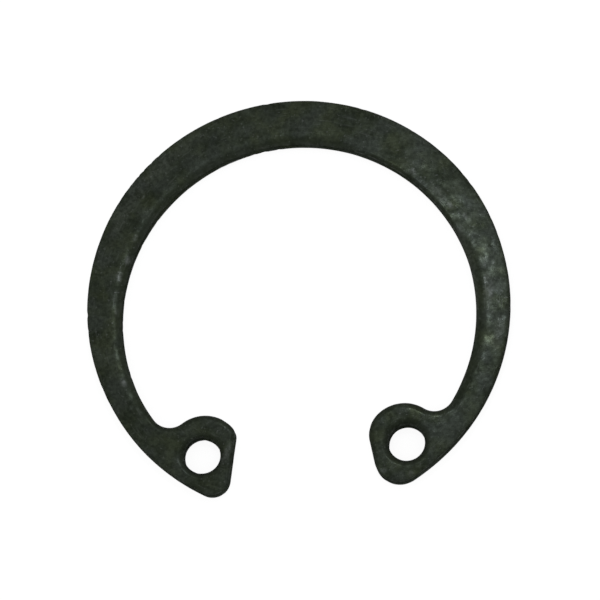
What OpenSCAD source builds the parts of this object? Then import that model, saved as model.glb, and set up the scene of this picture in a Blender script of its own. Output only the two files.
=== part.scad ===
// Internal retaining ring for a bore: an open band of spring steel, blanked from strip and widest
// opposite its gap, with two lugs that reach inward at the gap and take the tips of the pliers.
// The ring lies flat on the XY plane, the axis of its outer edge is Z, and its gap faces -Y.
// Sizes are millimetres.

/* [Band] */
// Outer diameter of the ring lying free
outer_d = 23.5; // [22:0.1:27]
// Thickness of the strip
thick = 1; // [0.8:0.05:1.5]
// Radial width of the band opposite the gap
back_w = 2.5; // [2:0.05:3]
// Radial width that the band tapers to at the middle of the gap
front_w = 1.3; // [0.9:0.05:1.6]

/* [Lugs] */
// Height of the lugs, from the outer edge of the ring to their noses
lug_h = 4.12; // [3.6:0.01:4.8]
// Radius of the noses
nose_r = 2.05; // [1.8:0.05:2.3]
// Radius of the hollows between the noses and the band
root_r = 1.1; // [0.6:0.05:1.6]
// Lean of the end faces, away from the gap towards the outer edge
end_lean = 10; // [0:1:16]
// How far the end face of the left lug cuts into its nose
left_cut = 0.47; // [0.2:0.01:0.7]
// How far the end face of the right lug cuts into its nose
right_cut = 0.18; // [0.1:0.01:0.7]
// Radius of the corner between nose and end face on the left lug
left_corner_r = 0.6; // [0.3:0.05:1.4]
// Radius of the corner between nose and end face on the right lug
right_corner_r = 1.65; // [0.3:0.05:1.7]
// Radius of the tip between end face and outer edge on the left lug
left_tip_r = 1; // [0.5:0.05:1.5]
// Radius of the tip between end face and outer edge on the right lug
right_tip_r = 1.4; // [0.5:0.05:1.5]

/* [Plier holes] */
// Diameter of the plier holes
hole_d = 2; // [1.6:0.05:2.3]
// Steel left between a plier hole and the outer edge
hole_wall = 0.83; // [0.6:0.01:1.1]
// Angle at the axis between the middle of the gap and each plier hole
hole_angle = 34.8; // [30:0.1:42]

/* [Blanked edges] */
// Width of the edge that the punch rolled over
roll_w = 0.4; // [0.1:0.01:0.45]
// Depth of the edge that the punch rolled over
roll_h = 0.14; // [0.05:0.01:0.25]
// Width of the rolled edge round the plier holes
hole_roll_w = 0.22; // [0.1:0.01:0.4]
// Bevel that tumbling left on the other edges
bevel = 0.06; // [0.02:0.01:0.15]

/* [Hidden] */
$fn = 180;

// Flat strips that make up the curve of a rolled edge
roll_strips = 4;
// Depth by which each round of the outline cuts across the next one, so that they meet at a clean edge
lap = 0.005;
// How far past the faces of the strip the blanks stand, the spaces cut from them, and the edge sections
blank_past = 0.1;
cut_past = 0.2;
edge_past = 0.3;
// Length that takes a cut clear of a lug
clear = 2 * lug_h;

outer_r = outer_d / 2;
inner_r = outer_r - (back_w + front_w) / 2;
inner_at = [0, (front_w - back_w) / 2];
hole_r = hole_d / 2;
hole_dir = [sin(hole_angle), -cos(hole_angle)];
hole_at = (outer_r - hole_wall - hole_r) * hole_dir;
nose_at = (outer_r - lug_h + nose_r) * hole_dir;
end_dir = [-cos(end_lean), -sin(end_lean)];
down_dir = [sin(end_lean), -cos(end_lean)];
root_at = meet(inner_at, inner_r - root_r + lap, nose_at, nose_r + root_r - lap);

function unit(v) = v / norm(v);

// Point at distance r from p on the line across n at distance c from the axis, towards down_dir if side is 1
// and away from it if side is -1
function on_line(n, c, p, r, side) =
    let (k = c - n * p)
    p + k * n + side * sqrt(max(r * r - k * k, 0)) * down_dir;

// Point at distance r1 from p1 and r2 from p2, on the left of the way from p1 to p2
function meet(p1, r1, p2, r2) =
    let (d = norm(p2 - p1), u = unit(p2 - p1), k = (d * d + r1 * r1 - r2 * r2) / (2 * d))
    p1 + k * u + sqrt(max(r1 * r1 - k * k, 0)) * [-u[1], u[0]];

// Section of an edge as [inset, height] points from below the strip to above it: a bevel under a wall,
// and over it the arc of a roll w wide and h deep, which leaves the upper face flat
function rolled_edge(w, h) =
    let (
        r = (w * w + h * h) / (2 * h),
        steep = asin(w / r),
        arc = [for (k = [0 : roll_strips])
            let (a = steep * (1 - k / roll_strips))
            [w - r * sin(a), thick - r + r * cos(a)]],
        rise = 2 * arc[roll_strips] - arc[roll_strips - 1]
    )
    [
        [bevel + edge_past, -edge_past],
        [0, bevel],
        for (k = [0 : roll_strips - 1]) arc[k],
        rise,
        [rise[0], thick + edge_past]
    ];

function turned_over(edge) =
    [for (k = [len(edge) - 1 : -1 : 0]) [edge[k][0], thick - edge[k][1]]];

// The punch that opened the middle and the gap came from above, and the one that cut the ring out of
// the strip left its roll underneath
punched = rolled_edge(roll_w, roll_h);
blanked = turned_over(punched);
pierced = rolled_edge(hole_roll_w, roll_h);
tumbled = [
    [bevel + edge_past, -edge_past],
    [0, bevel],
    [0, thick - bevel],
    [bevel + edge_past, thick + edge_past]
];

// Solid round of radius r with the given edge about its rim
module round_of(r, edge)
    rotate_extrude()
        polygon([[0, -edge_past], for (p = edge) [max(r - p[0], 0), p[1]], [0, thick + edge_past]]);

// Space of a round opening of radius r with the given edge about its rim
module opening_of(r, edge)
    rotate_extrude()
        polygon([[0, -edge_past], for (p = edge) [r + p[0], p[1]], [0, thick + edge_past]]);

// Space beyond a straight edge along Y, on its +X side
module beyond(edge)
    rotate([90, 0, 0])
        linear_extrude(2 * clear, center = true)
            polygon([[lug_h, -edge_past], for (p = edge) [-p[0], p[1]], [lug_h, thick + edge_past]]);

// Upright prism on an outline, standing past both faces of the strip
module prism(points, past)
    translate([0, 0, -past])
        linear_extrude(thick + 2 * past)
            polygon(points);

// Space outside a round of radius r at a corner of the outline, between the directions a and b
module corner_cut(at, r, a, b, edge)
    difference() {
        prism([at, at + clear * a, at + clear * (a + b), at + clear * b], cut_past);
        translate(at) round_of(r, edge);
    }

// The band, from one plier hole round the back to the other
module band()
    difference() {
        prism([
            [0, 0],
            outer_d * hole_dir,
            [outer_d, outer_d],
            [-outer_d, outer_d],
            outer_d * [-hole_dir[0], hole_dir[1]]
        ], blank_past);
        translate(inner_at) opening_of(inner_r, punched);
    }

// The right lug, with the hollow that leads into the band: its end face cuts off the nose
module lug(cut, corner_r, tip_r) {
    end_c = end_dir * nose_at + nose_r - cut;
    // The corner has to fit between the nose and its end face
    corner = min(corner_r, nose_r - cut / 2);
    corner_at = on_line(end_dir, end_c - corner + lap, nose_at, nose_r - corner + lap, -1);
    tip_at = on_line(end_dir, end_c - tip_r + lap, [0, 0], outer_r - tip_r + lap, 1);
    past_end = nose_at + (nose_r + blank_past) * end_dir;
    difference() {
        union() {
            translate(nose_at) round_of(nose_r, punched);
            difference() {
                prism([
                    root_at,
                    nose_at,
                    past_end,
                    past_end + clear * down_dir,
                    root_at + clear * unit(root_at - inner_at)
                ], blank_past);
                translate(root_at) opening_of(root_r, punched);
            }
        }
        translate(nose_at + (nose_r - cut) * end_dir)
            rotate(180 + end_lean)
                beyond(punched);
        corner_cut(corner_at, corner, unit(corner_at - nose_at), end_dir, punched);
        corner_cut(tip_at, tip_r, end_dir, unit(tip_at), tumbled);
    }
}

module retaining_ring()
    color("#2c3129")
    difference() {
        intersection() {
            translate([0, 0, thick / 2])
                cube([outer_d + clear, outer_d + clear, thick], center = true);
            round_of(outer_r, blanked);
            union() {
                band();
                lug(right_cut, right_corner_r, right_tip_r);
                mirror([1, 0, 0]) lug(left_cut, left_corner_r, left_tip_r);
            }
        }
        translate(hole_at) opening_of(hole_r, pierced);
        mirror([1, 0, 0]) translate(hole_at) opening_of(hole_r, pierced);
    }

retaining_ring();
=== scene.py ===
import math

import bpy
import numpy as np
from mathutils import Matrix, Vector, noise
from mathutils.geometry import delaunay_2d_cdt


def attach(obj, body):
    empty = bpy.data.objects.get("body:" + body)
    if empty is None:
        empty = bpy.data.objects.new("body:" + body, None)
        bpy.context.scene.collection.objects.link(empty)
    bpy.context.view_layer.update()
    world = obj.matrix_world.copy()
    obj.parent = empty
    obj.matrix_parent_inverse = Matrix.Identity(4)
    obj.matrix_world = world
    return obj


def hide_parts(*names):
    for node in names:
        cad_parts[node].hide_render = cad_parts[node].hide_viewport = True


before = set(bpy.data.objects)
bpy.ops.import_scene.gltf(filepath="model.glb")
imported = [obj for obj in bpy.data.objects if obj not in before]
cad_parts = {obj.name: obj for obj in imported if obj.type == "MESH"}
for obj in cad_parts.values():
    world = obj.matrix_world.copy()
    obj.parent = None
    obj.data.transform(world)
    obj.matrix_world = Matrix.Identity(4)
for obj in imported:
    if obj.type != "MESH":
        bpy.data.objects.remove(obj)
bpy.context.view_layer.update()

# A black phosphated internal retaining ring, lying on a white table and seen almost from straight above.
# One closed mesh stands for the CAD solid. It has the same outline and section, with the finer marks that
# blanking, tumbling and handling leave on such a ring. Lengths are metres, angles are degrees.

MM = 0.001
UM = 0.000001


# ---- Sizes ----

# The ring, as in the CAD source: band, lugs, plier holes
OUTER_R = 11.75 * MM
THICK = 1.0 * MM
BACK_W = 2.5 * MM
FRONT_W = 1.3 * MM
LUG_H = 4.12 * MM
NOSE_R = 2.05 * MM
ROOT_R = 1.1 * MM
END_LEAN = 10.0
LEFT_CUT, RIGHT_CUT = 0.47 * MM, 0.18 * MM
LEFT_CORNER_R, RIGHT_CORNER_R = 0.6 * MM, 1.65 * MM
LEFT_TIP_R, RIGHT_TIP_R = 1.0 * MM, 1.4 * MM
HOLE_R = 1.0 * MM
HOLE_WALL = 0.83 * MM
HOLE_ANGLE = 34.8

# Edges as (width, depth) of the round above the wall, then of the round below it
BEVEL = (0.06 * MM, 0.06 * MM)
ROLL = (0.4 * MM, 0.14 * MM)
PUNCHED = ROLL + BEVEL
BLANKED = BEVEL + ROLL
TUMBLED = BEVEL + BEVEL
PIERCED = (0.4 * MM, 0.22 * MM) + BEVEL

# The punch did not cut equally sharp all round: the roll is wide and soft along most of the band's inner edge,
# and narrow at its upper right and on the left end face
SOFT = (0.85 * MM, 0.15 * MM) + BEVEL
NARROW = (0.25 * MM, 0.12 * MM) + BEVEL
SOFT_FROM, SOFT_TO, NARROW_TO = 208, 72, 22

# The strip gets a little thinner towards the outer edge
FALL_WIDTH, FALL_DEPTH = 1.0 * MM, 0.018 * MM

# Fineness of the mesh: spacing of its points, rows over a round and a wall, points over which edges blend
STEP = 0.1 * MM
ROUND_ROWS = 8
WALL_ROWS = 8
BLEND_STEPS = 5
# How far the points inside a face keep from its rims
RIM_SPACE = 0.6 * STEP


# ---- Outline of the ring in plan ----

def heading(degrees):
    """Unit vector in the plan at this angle from +X."""
    return np.array([math.cos(math.radians(degrees)), math.sin(math.radians(degrees))])


AXIS = np.zeros(2)
INNER_R = OUTER_R - (BACK_W + FRONT_W) / 2
INNER_AT = np.array([0.0, (FRONT_W - BACK_W) / 2])
LUG_DIR = heading(HOLE_ANGLE - 90)
HOLE_AT = (OUTER_R - HOLE_WALL - HOLE_R) * LUG_DIR
NOSE_AT = (OUTER_R - LUG_H + NOSE_R) * LUG_DIR
END_DIR = heading(180 + END_LEAN)
DOWN_DIR = heading(END_LEAN - 90)
FLIP = np.array([-1.0, 1.0])


def on_line(reach, centre, radius, side):
    """Point at distance radius from centre on the line across END_DIR at distance reach from the axis, towards
    DOWN_DIR if side is 1 and away from it if side is -1."""
    k = reach - END_DIR @ centre
    return centre + k * END_DIR + side * math.sqrt(radius * radius - k * k) * DOWN_DIR


def meet(p1, r1, p2, r2):
    """Point at distance r1 from p1 and r2 from p2, on the left of the way from p1 to p2."""
    d = np.linalg.norm(p2 - p1)
    u = (p2 - p1) / d
    k = (d * d + r1 * r1 - r2 * r2) / (2 * d)
    return p1 + k * u + math.sqrt(r1 * r1 - k * k) * np.array([-u[1], u[0]])


def arc(centre, radius, first, last, turn, edge):
    """Run of [point, way into the steel, edge] from the direction first to the direction last about centre.
    turn is 1 where the run goes anticlockwise with the steel inside it, and -1 for the reverse."""
    start = math.atan2(first[1], first[0])
    sweep = (turn * (math.atan2(last[1], last[0]) - start)) % (2 * math.pi) or 2 * math.pi
    count = max(3, round(radius * sweep / STEP))
    turns = start + turn * sweep * (np.arange(count) + 0.5) / count
    out = np.stack([np.cos(turns), np.sin(turns)], axis=1)
    return [[centre + radius * o, -turn * o, edge] for o in out]


def line(first, last, edge):
    """Straight run like that of arc, with the steel on its left."""
    length = np.linalg.norm(last - first)
    along = (last - first) / length
    inward = np.array([-along[1], along[0]])
    count = max(3, round(length / STEP))
    return [[first + along * length * (k + 0.5) / count, inward, edge] for k in range(count)]


def lug_run(cut, corner_r, tip_r, end_edge):
    """The right lug from its hollow to its tip, with the centres of hollow and tip."""
    root_at = meet(INNER_AT, INNER_R - ROOT_R, NOSE_AT, NOSE_R + ROOT_R)
    end = END_DIR @ NOSE_AT + NOSE_R - cut
    corner_at = on_line(end - corner_r, NOSE_AT, NOSE_R - corner_r, -1)
    tip_at = on_line(end - tip_r, AXIS, OUTER_R - tip_r, 1)
    run = arc(root_at, ROOT_R, root_at - INNER_AT, NOSE_AT - root_at, -1, PUNCHED)
    run += arc(NOSE_AT, NOSE_R, root_at - NOSE_AT, corner_at - NOSE_AT, 1, PUNCHED)
    run += arc(corner_at, corner_r, corner_at - NOSE_AT, END_DIR, 1, PUNCHED)
    run += line(corner_at + corner_r * END_DIR, tip_at + tip_r * END_DIR, end_edge)
    run += arc(tip_at, tip_r, END_DIR, tip_at, 1, TUMBLED)
    return run, root_at, tip_at


def loop_arrays(run):
    """Points, ways into the steel and edges of a closed run, the edges blended where they change."""
    points = np.array([r[0] for r in run])
    inward = np.array([r[1] for r in run])
    edges = np.array([r[2] for r in run])
    for _ in range(2):
        edges = sum(np.roll(edges, k, axis=0) for k in range(-BLEND_STEPS, BLEND_STEPS + 1))
        edges = edges / (2 * BLEND_STEPS + 1)
    return points, inward, edges


def outline_loop():
    """The outer edge, the left lug, the band's inner edge and the right lug."""
    right, right_root, right_tip = lug_run(RIGHT_CUT, RIGHT_CORNER_R, RIGHT_TIP_R, PUNCHED)
    left, left_root, left_tip = lug_run(LEFT_CUT, LEFT_CORNER_R, LEFT_TIP_R, NARROW)
    run = arc(AXIS, OUTER_R, right_tip, FLIP * left_tip, 1, BLANKED)
    run += [[FLIP * point, FLIP * inward, edge] for point, inward, edge in reversed(left)]
    ends = [FLIP * left_root - INNER_AT, right_root - INNER_AT]
    ends[1:1] = [heading(SOFT_FROM), heading(SOFT_TO), heading(NARROW_TO)]
    for first, last, edge in zip(ends, ends[1:], (PUNCHED, SOFT, NARROW, SOFT)):
        run += arc(INNER_AT, INNER_R, first, last, -1, edge)
    return loop_arrays(run + right)


def hole_loop(side):
    """The plier hole of the right lug for side 1, and of the left lug for side -1."""
    return loop_arrays(arc(HOLE_AT * [side, 1], HOLE_R, heading(0), heading(0), -1, PIERCED))


# ---- Surface over the outline ----

def round_rows(width, depth):
    """Insets, drops and slopes of the rows of a round, from the flat face to the wall. The flatter a round
    is, the more gently it leaves the face."""
    share = np.linspace(0, 1, ROUND_ROWS + 1)[:, None]
    power = 3 - depth / width
    slope = np.arctan(power * depth / width * share ** (power - 1))
    return width * (1 - share), depth * share ** power, slope


def edge_rows(points, inward, edges):
    """Rows of vertices over an edge, from the upper face to the lower one, as (rows, points, 3) arrays of
    places and of outward normals, with the share of the way down the wall (0 above it, 1 below it)."""
    top_in, top_drop, top_slope = round_rows(edges[:, 0], edges[:, 1])
    low_in, low_drop, low_slope = round_rows(edges[:, 2], edges[:, 3])
    share = np.linspace(0, 1, WALL_ROWS + 1)[1:-1, None]
    wall_top, wall_low = THICK - edges[:, 1], edges[:, 3]
    wall = wall_top * (1 - share) + wall_low * share
    inset = np.concatenate([top_in, np.zeros_like(wall), low_in[::-1]])
    height = np.concatenate([THICK - top_drop, wall, low_drop[::-1]])
    slope = np.concatenate([top_slope, np.full_like(wall, math.pi / 2), math.pi - low_slope[::-1]])
    plan = points[None] + inward[None] * inset[:, :, None]
    place = np.concatenate([plan, height[:, :, None]], axis=2)
    side = -inward[None] * np.sin(slope)[:, :, None]
    normal = np.concatenate([side, np.cos(slope)[:, :, None]], axis=2)
    down = np.clip((wall_top - height) / (wall_top - wall_low), 0, 1)
    return place, normal, down


# Width up to which a round is sharp, wear of the rows about its crest from the round to the wall, and how much
# painted shade the walls get, on the scale of the rolls' slope
SHARP_WIDTH = 3 * BEVEL[0]
CREST_WEAR = (0.5, 1.0, 0.6)
WALL_ROLL_SHADE = 0.12


def edge_state(normal, edges):
    """Wear of the rows over an edge, and the painted shade on them, as (rows, points) arrays. Sharp rounds are
    worn at the crest, and wide ones get painted shade that grows with their slope."""
    sharp_top, sharp_low = np.clip(SHARP_WIDTH / edges[:, [0, 2]], 0, 1).T
    steep = np.hypot(normal[:, :, 0], normal[:, :, 1])
    worn = np.zeros_like(steep)
    worn[ROUND_ROWS - 1:ROUND_ROWS + 2] = np.outer(CREST_WEAR, sharp_top)
    worn[-ROUND_ROWS - 2:-ROUND_ROWS + 1] = np.outer(CREST_WEAR[::-1], sharp_low)
    rolled = np.full_like(steep, WALL_ROLL_SHADE)
    rolled[:ROUND_ROWS + 1] = steep[:ROUND_ROWS + 1] * (1 - sharp_top)
    rolled[-ROUND_ROWS - 1:] = steep[-ROUND_ROWS - 1:] * (1 - sharp_low)
    return worn, rolled


def inside(points, polygon):
    """Which of the points lie inside the closed polygon."""
    x, y = points[:, 0, None], points[:, 1, None]
    x1, y1 = polygon[:, 0], polygon[:, 1]
    x2, y2 = np.roll(x1, -1), np.roll(y1, -1)
    spans = (y1 > y) != (y2 > y)
    rise = np.where(y2 == y1, 1.0, y2 - y1)
    return (spans & (x < (x2 - x1) * (y - y1) / rise + x1)).sum(axis=1) % 2 == 1


def in_face(points, loops):
    """Which of the points lie inside the first loop and outside the others."""
    keep = inside(points, loops[0])
    for hole in loops[1:]:
        keep &= ~inside(points, hole)
    return keep


def face_fill(loops):
    """Points spread over a face between its loops, and triangles over loops and points together.
    The loops' points count first, in order."""
    rim = np.concatenate(loops)
    low, high = rim.min(axis=0), rim.max(axis=0)
    columns = np.arange(low[0], high[0], STEP)
    rows = np.arange(low[1], high[1], STEP * math.sqrt(3) / 2)
    grid = np.stack(np.meshgrid(columns, rows), axis=2)
    grid[1::2, :, 0] += STEP / 2
    grid = grid.reshape(-1, 2)
    grid = grid[in_face(grid, loops)]
    near = np.array([np.min(np.sum((rim - p) ** 2, axis=1)) for p in grid])
    grid = grid[near > RIM_SPACE ** 2]
    sites = np.concatenate([rim, grid])
    borders, first = [], 0
    for loop in loops:
        count = len(loop)
        borders += [(first + k, first + (k + 1) % count) for k in range(count)]
        first += count
    flat = [Vector(p / MM) for p in sites]
    points, _, faces, sources, _, _ = delaunay_2d_cdt(flat, borders, [], 0, 1e-6)
    if len(points) != len(sites):
        raise ValueError("the loops of a face cross each other")
    triangles = np.array([[sources[v][0] for v in face] for face in faces])
    return grid, triangles[in_face(sites[triangles].mean(axis=1), loops)]


# ---- Marks on the surface ----

# Depths into the steel, and sizes of the marks
WAVE_DEPTH, WAVE_SIZE = 12 * UM, 1.3 * MM
GRAIN_DEPTH, GRAIN_SIZE = 7 * UM, 0.45 * MM
FRACTURE_DEPTH, FRACTURE_SIZE = 14 * UM, 0.22 * MM
STREAK_DEPTH, STREAK_SIZE = 7 * UM, 0.16 * MM
DINGS, DING_R, DING_DEPTH = 150, (0.1 * MM, 0.32 * MM), (4 * UM, 16 * UM)
NICKS, NICK_R, NICK_DEPTH = 70, (0.1 * MM, 0.24 * MM), (8 * UM, 30 * UM)
SEED = 22
# Share of the way down a wall where the steel tore off, and over which that sets in
FRACTURE_FROM, FRACTURE_OVER = 0.45, 0.15
# Share of the height that the noise behind the streaks sees, which draws them out down the wall
STREAK_SQUEEZE = 0.12
# How far apart in the noise the lumps of two marks are taken
NOISE_SHIFT = (7.3, 3.1, 5.7)


def noise_at(places, size, seed):
    """Smooth noise from -1 to 1 at the places, with lumps of about this size."""
    shift = Vector([seed * s for s in NOISE_SHIFT])
    return np.array([noise.noise(Vector(p / size) + shift) for p in places])


def mark_depths(place, down, worn):
    """Depth of the surface marks at every vertex: waves and grain all over, the torn and streaked walls, then
    dings anywhere and nicks on the crests."""
    on_wall = (down > 0) & (down < 1)
    depth = WAVE_DEPTH * (0.5 + 0.5 * noise_at(place, WAVE_SIZE, 1))
    depth += GRAIN_DEPTH * (0.5 + 0.5 * noise_at(place, GRAIN_SIZE, 2))
    torn = np.clip((down - FRACTURE_FROM) / FRACTURE_OVER, 0, 1) * on_wall
    depth += FRACTURE_DEPTH * torn * (0.6 + 0.6 * noise_at(place, FRACTURE_SIZE, 3))
    squeezed = place * [1, 1, STREAK_SQUEEZE]
    depth += STREAK_DEPTH * on_wall * (0.5 + 0.5 * noise_at(squeezed, STREAK_SIZE, 4))
    draw = np.random.RandomState(SEED)
    anywhere, crests = np.arange(len(place)), np.flatnonzero(worn > 0.5)
    for count, radii, depths, choice in (
        (DINGS, DING_R, DING_DEPTH, anywhere),
        (NICKS, NICK_R, NICK_DEPTH, crests),
    ):
        for _ in range(count):
            at = place[choice[draw.randint(len(choice))]]
            radius = draw.uniform(*radii)
            deep = draw.uniform(*depths)
            away = np.sum((place - at) ** 2, axis=1) / radius ** 2
            depth += deep * np.clip(1 - away, 0, 1) ** 2
    return depth


# Scuffs and painted sheen on the upper side, where the coat is drawn paler: x, y, half length along the ring
# and half width, all in millimetres, and the share of paler coat in the middle
SCUFFS_AND_SHEEN = [
    # Spots, partly rubbed coat and partly painted highlights
    (10.73, 0.00, 0.34, 0.13, 0.9),
    (8.70, 5.12, 0.26, 0.17, 0.6),
    (9.51, 4.44, 0.24, 0.14, 0.5),
    (6.74, 7.22, 0.28, 0.20, 0.5),
    (-9.85, 2.30, 0.40, 0.18, 0.8),
    (-9.37, 3.18, 0.30, 0.17, 0.7),
    (-9.85, -3.78, 0.30, 0.17, 0.75),
    (-8.88, 4.42, 0.28, 0.15, 0.4),
    (-10.09, 0.24, 0.34, 0.12, 0.35),
    (5.83, -9.96, 0.20, 0.18, 0.55),
    (4.35, -9.69, 0.22, 0.15, 0.45),
    (-4.32, -8.20, 0.24, 0.75, 0.5),
    # Wide faint patches of painted sheen
    (8.15, 5.85, 1.00, 0.30, 0.20),
    (9.72, 1.20, 3.60, 0.36, 0.26),
    (10.60, 0.30, 1.10, 0.35, 0.32),
    (11.05, -2.35, 1.20, 0.35, 0.25),
    (-8.30, 7.45, 5.50, 0.50, 0.18),
]


def scuff_and_sheen_share(place, normal):
    """How far the coat is drawn paler at every vertex: partly rubbed thin, partly painted sheen and
    highlights.
    """
    radius = np.hypot(place[:, 0], place[:, 1])
    turn = np.arctan2(place[:, 1], place[:, 0])
    share = np.zeros(len(place))
    for x, y, half_length, half_width, most in SCUFFS_AND_SHEEN:
        along = np.angle(np.exp(1j * (turn - math.atan2(y, x)))) * radius / (half_length * MM)
        across = (radius - math.hypot(x, y) * MM) / (half_width * MM)
        share = np.maximum(share, most * np.clip(1 - along ** 2 - across ** 2, 0, 1))
    return share * (normal[:, 2] > 0)


# ---- Mesh of the ring ----

class Surface:
    """The ring's vertices, with what the marks and the material take from each, and the faces over them."""

    def __init__(self):
        self.parts = []
        self.faces = []
        self.count = 0

    def add(self, place, normal, down, worn, rolled):
        """Add vertices, and return their numbers in the shape of down."""
        ids = self.count + np.arange(down.size).reshape(down.shape)
        vectors = [values.reshape(-1, 3) for values in (place, normal)]
        self.parts.append(vectors + [values.ravel() for values in (down, worn, rolled)])
        self.count += down.size
        return ids

    def arrays(self):
        """Place, normal, down, worn and painted roll shade of all vertices."""
        return [np.concatenate(column) for column in zip(*self.parts)]


def ring_surface():
    """The rows over the three edges of the ring, and the two faces between them."""
    surface = Surface()
    top_rims, low_rims = [], []
    for points, inward, edges in (outline_loop(), hole_loop(1), hole_loop(-1)):
        place, normal, down = edge_rows(points, inward, edges)
        ids = surface.add(place, normal, down, *edge_state(normal, edges))
        after = np.roll(ids, -1, axis=1)
        quads = np.stack([ids[1:], after[1:], after[:-1], ids[:-1]], axis=2)
        surface.faces += quads.reshape(-1, 4).tolist()
        top_rims.append((ids[0], place[0, :, :2]))
        low_rims.append((ids[-1], place[-1, :, :2]))
    for rims, height, down, up in ((top_rims, THICK, 0.0, 1), (low_rims, 0.0, 1.0, -1)):
        grid, triangles = face_fill([loop for _, loop in rims])
        place = np.column_stack([grid, np.full(len(grid), height)])
        normal = np.tile([0.0, 0.0, up], (len(grid), 1))
        plain = np.zeros(len(grid))
        ids = surface.add(place, normal, plain + down, plain, plain)
        ids = np.concatenate([rim for rim, _ in rims] + [ids])
        surface.faces += ids[triangles][:, ::up].tolist()
    return surface


def build_ring():
    """The ring's mesh, with its marks, and the vertex attributes that its material reads."""
    surface = ring_surface()
    place, normal, down, worn, rolled = surface.arrays()
    rim = np.clip((np.hypot(place[:, 0], place[:, 1]) - OUTER_R + FALL_WIDTH) / FALL_WIDTH, 0, 1)
    place[:, 2] *= 1 - FALL_DEPTH / THICK * rim ** 2
    place = place - normal * mark_depths(place, down, worn)[:, None]
    mesh = bpy.data.meshes.new("ring")
    mesh.from_pydata(place.tolist(), [], surface.faces)
    mesh.polygons.foreach_set("use_smooth", np.ones(len(mesh.polygons), bool))
    attributes = {
        "steep": np.hypot(normal[:, 0], normal[:, 1]),
        "down": down,
        "worn": worn,
        # Painted shade on the rolls and, less, on the walls
        "rolled": rolled,
        # Paler coat: partly rubbed, partly painted sheen and highlights
        "scuff_and_sheen": scuff_and_sheen_share(place, normal),
    }
    for name, values in attributes.items():
        layer = mesh.attributes.new(name, "FLOAT", "POINT")
        layer.data.foreach_set("value", values.astype(np.float32))
    mesh.update()
    ring = bpy.data.objects.new("ring", mesh)
    bpy.context.scene.collection.objects.link(ring)
    return ring


# ---- Materials ----

class Nodes:
    """A node tree, with short ways to add and link its nodes. Values may be numbers, colours or sockets."""

    def __init__(self, owner):
        owner.use_nodes = True
        self.tree = owner.node_tree
        self.tree.nodes.clear()

    def put(self, value, socket):
        """Link value to the socket if it is one itself, and otherwise set it there."""
        if isinstance(value, bpy.types.NodeSocket):
            self.tree.links.new(value, socket)
        else:
            socket.default_value = value

    def add(self, kind, inputs=(), **settings):
        """New node with its settings, and its inputs by name or number."""
        node = self.tree.nodes.new(kind)
        for key, value in settings.items():
            setattr(node, key, value)
        for key, value in dict(inputs).items():
            self.put(value, node.inputs[key])
        return node

    def attribute(self, name):
        return self.add("ShaderNodeAttribute", attribute_name=name).outputs["Fac"]

    def vector(self, operation, a, b):
        return self.add("ShaderNodeVectorMath", {0: a, 1: b}, operation=operation).outputs[0]

    def math(self, operation, a, b=0.0, clamp=False):
        return self.add("ShaderNodeMath", {0: a, 1: b}, operation=operation, use_clamp=clamp).outputs[0]

    def weighted(self, *pairs):
        """Sum of the products of the pairs."""
        total = self.math("MULTIPLY", *pairs[0])
        for pair in pairs[1:]:
            total = self.math("ADD", total, self.math("MULTIPLY", *pair))
        return total

    def ramp(self, value, low, high, to_low=0.0, to_high=1.0):
        """value from low..high carried smoothly to to_low..to_high."""
        inputs = {"Value": value, "From Min": low, "From Max": high, "To Min": to_low, "To Max": to_high}
        return self.add("ShaderNodeMapRange", inputs, interpolation_type="SMOOTHSTEP").outputs[0]

    def between(self, factor, a, b):
        """Number a for factor 0 and b for factor 1."""
        return self.add("ShaderNodeMix", {0: factor, 2: a, 3: b}).outputs[0]

    def mix(self, factor, a, b, blend="MIX"):
        """Colour a for factor 0 and b for factor 1."""
        node = self.add("ShaderNodeMix", data_type="RGBA", blend_type=blend)
        for name, value in (("Factor", factor), ("A", a), ("B", b)):
            self.put(value, next(s for s in node.inputs if s.name == name and s.enabled))
        return next(s for s in node.outputs if s.enabled)

    def shaded(self, colour, tone):
        """colour times the number tone."""
        grey = self.add("ShaderNodeCombineColor", {0: tone, 1: tone, 2: tone}).outputs[0]
        return self.mix(1.0, colour, grey, "MULTIPLY")

    def noise(self, vector, scale, detail=2.0, roughness=0.5):
        inputs = {"Vector": vector, "Scale": scale, "Detail": detail, "Roughness": roughness}
        return self.add("ShaderNodeTexNoise", inputs).outputs[0]


# Colours of the phosphate coat, and of the coat where it is rubbed thin, which also serves as painted sheen
# and highlights in the scuffs
COAT_DARK = (0.0140, 0.0178, 0.0116, 1)
COAT_MID = (0.0268, 0.0327, 0.0236, 1)
COAT_OLIVE = (0.0250, 0.0305, 0.0165, 1)
COAT_GREY = (0.0240, 0.0285, 0.0245, 1)
RUBBED_AND_SHEEN = (0.090, 0.098, 0.090, 1)
# Streaks to the millimetre across the ring, and to the radian along it
STREAKS_ACROSS, STREAKS_ALONG = 9.0, 9.0


def coat_colour(n, mm, grain):
    """Patches about a millimetre across, in three tints, and painted shade on the rolls and walls."""
    patch = n.noise(mm, 0.8, 4.0, 0.7)
    tint = n.noise(n.vector("ADD", mm, (31, 7, 3)), 0.8)
    coat = n.mix(n.ramp(patch, 0.32, 0.68), COAT_DARK, COAT_MID)
    coat = n.mix(n.ramp(tint, 0.50, 0.66, 0.0, 0.5), coat, COAT_OLIVE)
    coat = n.mix(n.ramp(tint, 0.50, 0.36, 0.0, 0.5), coat, COAT_GREY)
    coat = n.shaded(coat, n.ramp(grain, 0.3, 0.7, 0.75, 1.3))
    # Painted shade: darker coat on the rolls, and a little on the walls
    return n.mix(n.ramp(n.attribute("rolled"), 0.0, 0.3, 0.0, 0.55), coat, COAT_DARK)


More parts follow.
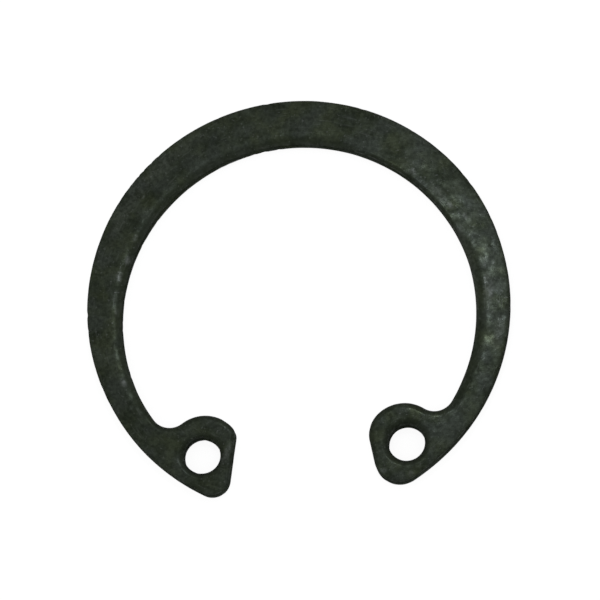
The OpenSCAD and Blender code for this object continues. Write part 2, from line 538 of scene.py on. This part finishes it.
def sliding_streaks(n, mm):
    """Streaks that run round the ring, from sliding on its neighbours."""
    x, y, z = n.add("ShaderNodeSeparateXYZ", {0: mm}).outputs
    radius = n.math("SQRT", n.math("ADD", n.math("POWER", x, 2.0), n.math("POWER", y, 2.0)))
    across = n.math("MULTIPLY", radius, STREAKS_ACROSS)
    along = n.math("MULTIPLY", n.math("ARCTAN2", y, x), STREAKS_ALONG)
    polar = n.add("ShaderNodeCombineXYZ", {0: across, 1: along, 2: z}).outputs[0]
    return n.ramp(n.noise(polar, 1.0), 0.6, 0.72)


def rubbed_and_sheen_share(n, mm, grain, streak):
    """How far the coat is drawn paler: rubbed in streaks and specks and on worn crests, and in the scuffs
    partly rubbed and partly painted sheen and highlights.
    """
    speck = n.ramp(n.noise(mm, 7.5, 1.0), 0.67, 0.74)
    crest = n.math("MULTIPLY", n.attribute("worn"), n.ramp(n.noise(mm, 2.6, 3.0), 0.36, 0.64))
    # Scuffs: partly rubbed coat, partly painted sheen and highlights
    scuff_and_sheen = n.math("MULTIPLY", n.attribute("scuff_and_sheen"), n.ramp(grain, 0.35, 0.65, 0.3, 0.9))
    return n.math("ADD", n.weighted((streak, 0.14), (speck, 0.3), (crest, 0.75)), scuff_and_sheen, clamp=True)


def wall_tone_and_shade(n, mm, steep):
    """Tone of the walls against the faces, darker overall as painted shade: burnished and lined above, torn
    and grainy below.
    """
    wander = n.ramp(n.noise(mm, 1.6), 0.3, 0.7, -0.12, 0.12)
    torn = n.ramp(n.math("ADD", n.attribute("down"), wander), 0.38, 0.5)
    lines = n.ramp(n.noise(n.vector("MULTIPLY", mm, (1, 1, 0.08)), 9.0), 0.35, 0.65, 0.6, 0.95)
    pits = n.ramp(n.noise(mm, 8.0, 3.0, 0.7), 0.35, 0.65, 0.65, 1.25)
    return n.between(n.ramp(steep, 0.15, 1.0), 1.0, n.between(torn, lines, pits))


def roughness(n, mm, rub_and_sheen, steep):
    """Satin under a patchy film of oil, smoother where rubbed, duller on rolls and dullest on walls."""
    film = n.ramp(n.noise(n.vector("ADD", mm, (5, 43, 11)), 1.5, 3.0, 0.6), 0.36, 0.64, 0.34, 0.185)
    rough = n.math("SUBTRACT", film, n.math("MULTIPLY", rub_and_sheen, 0.03))
    rough = n.math("ADD", rough, n.ramp(steep, 0.03, 0.2, 0.0, 0.06))
    return n.math("ADD", rough, n.ramp(steep, 0.4, 1.0, 0.0, 0.3))


def fine_bump(n, mm, streak):
    """Crystals of the coat, small lumps under it, and the streaks, all too fine for the mesh."""
    crystals, lumps = n.noise(mm, 16.0, 1.0), n.noise(mm, 4.0, 0.0)
    height = n.weighted((crystals, 0.35), (lumps, 0.5), (streak, -0.2))
    return n.add("ShaderNodeBump", {"Height": height, "Strength": 1.0, "Distance": 5 * UM}).outputs[0]


def phosphate():
    """Black phosphate on steel: patchy, fine-grained, rubbed paler on crests, with specks and scratches, with
    painted sheen and highlights on the upper side, and painted shade on rolls and walls.
    """
    material = bpy.data.materials.new("black_phosphate")
    n = Nodes(material)
    mm = n.vector("MULTIPLY", n.add("ShaderNodeTexCoord").outputs["Object"], (1 / MM,) * 3)
    steep = n.attribute("steep")
    grain = n.noise(mm, 5.5, 3.0, 0.65)
    streak = sliding_streaks(n, mm)
    rub_and_sheen = rubbed_and_sheen_share(n, mm, grain, streak)
    # Paler coat for wear, and as painted sheen and highlights in the scuffs
    colour = n.mix(rub_and_sheen, coat_colour(n, mm, grain), RUBBED_AND_SHEEN)
    shader = n.add("ShaderNodeBsdfPrincipled", {
        # Base colour with painted shade on the walls, besides their burnished and torn tone
        "Base Color": n.shaded(colour, wall_tone_and_shade(n, mm, steep)),
        "Metallic": n.ramp(steep, 0.55, 0.95, 0.5, 0.0),
        "Roughness": roughness(n, mm, rub_and_sheen, steep),
        "Specular IOR Level": 0.0,
        "Normal": fine_bump(n, mm, streak),
    }).outputs[0]
    n.add("ShaderNodeOutputMaterial", {"Surface": shader})
    return material


# ---- Table, light and camera ----

def seen_directly(n):
    """1 for rays from the camera, and for what mirrors and glass show of the scene, and 0 for other light."""
    path = n.add("ShaderNodeLightPath").outputs
    direct = n.math("MAXIMUM", path["Is Camera Ray"], path["Is Glossy Ray"])
    return n.math("MAXIMUM", direct, path["Is Transmission Ray"])


# The table: half its length, how far it lies under the ring, its colour as a surface that lights the ring, and
# the parts of its white that are its own and that a shadow darkens
FLOOR_HALF = 1.5
FLOOR_DROP = 0.01 * MM
FLOOR_COLOUR = (0.8, 0.8, 0.8, 1)
FLOOR_GLOW = 0.9
FLOOR_SHADE = (0.15, 0.15, 0.15, 1)


def build_floor():
    """White table: it shows as white with a faint shadow, and lights the ring as a pale surface does."""
    mesh = bpy.data.meshes.new("floor")
    corners = [(x * FLOOR_HALF, y * FLOOR_HALF, -FLOOR_DROP) for x, y in ((-1, -1), (1, -1), (1, 1), (-1, 1))]
    mesh.from_pydata(corners, [], [(0, 1, 2, 3)])
    floor = bpy.data.objects.new("floor", mesh)
    bpy.context.scene.collection.objects.link(floor)
    material = bpy.data.materials.new("white_table")
    n = Nodes(material)
    plain = n.add("ShaderNodeBsdfDiffuse", {"Color": FLOOR_COLOUR}).outputs[0]
    shade = n.add("ShaderNodeBsdfDiffuse", {"Color": FLOOR_SHADE}).outputs[0]
    glow = n.add("ShaderNodeEmission", {"Strength": FLOOR_GLOW}).outputs[0]
    shown = n.add("ShaderNodeAddShader", {0: shade, 1: glow}).outputs[0]
    mixed = n.add("ShaderNodeMixShader", {0: seen_directly(n), 1: plain, 2: shown}).outputs[0]
    n.add("ShaderNodeOutputMaterial", {"Surface": mixed})
    mesh.materials.append(material)


# Soft light of the studio from all round
WORLD_LIGHT = 0.9


def build_world():
    """Soft light that shows as white."""
    world = bpy.data.worlds.new("studio")
    bpy.context.scene.world = world
    n = Nodes(world)
    strength = n.between(seen_directly(n), WORLD_LIGHT, 1.0)
    back = n.add("ShaderNodeBackground", {"Color": (1, 1, 1, 1), "Strength": strength}).outputs[0]
    n.add("ShaderNodeOutputWorld", {"Surface": back})


# The key light is small and weak, and mostly shows as the sheen on the right limb
KEY_AT = Vector((4.1 * MM, 19.5 * MM, 74.5 * MM))
KEY_AIM = Vector((4 * MM, 0, 0))
KEY_SIZE, KEY_WATTS = 6 * MM, 0.0038
KEY_COLOUR = (1.0, 1.0, 1.15)


def build_key():
    data = bpy.data.lights.new("key", "AREA")
    data.shape = "DISK"
    data.size = KEY_SIZE
    data.energy = KEY_WATTS
    data.color = KEY_COLOUR
    light = bpy.data.objects.new("key", data)
    light.location = KEY_AT
    light.rotation_mode = "QUATERNION"
    light.rotation_quaternion = (KEY_AIM - KEY_AT).to_track_quat("-Z", "Y")
    light.visible_camera = False
    bpy.context.scene.collection.objects.link(light)


# The camera's place, as fitted to the ring's outline in the photograph
CAM_TILT, CAM_TILT_AXIS, CAM_ROLL = 15.14, -158.3, 3.117
CAM_DISTANCE = 391.7 * MM
CAM_SIDE, CAM_UP = 0.032 * MM, 0.5205 * MM
CAM_LENS = 423.9


def build_camera():
    axis = heading(CAM_TILT_AXIS)
    turn = Matrix.Rotation(math.radians(CAM_TILT), 3, Vector((axis[0], axis[1], 0)))
    turn = turn @ Matrix.Rotation(math.radians(CAM_ROLL), 3, "Z")
    axes = turn.transposed()
    data = bpy.data.cameras.new("camera")
    data.lens = CAM_LENS
    data.clip_start, data.clip_end = 0.01, 10
    camera = bpy.data.objects.new("camera", data)
    camera.matrix_world = Matrix.Translation(axes @ Vector((CAM_SIDE, CAM_UP, CAM_DISTANCE))) @ axes.to_4x4()
    bpy.context.scene.collection.objects.link(camera)
    bpy.context.scene.camera = camera


# ---- The scene ----

bpy.context.scene.view_settings.view_transform = "Standard"
build_camera()
build_floor()
build_world()
build_key()

ring = build_ring()
ring.data.materials.append(phosphate())
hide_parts("retaining_ring")
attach(ring, "root")
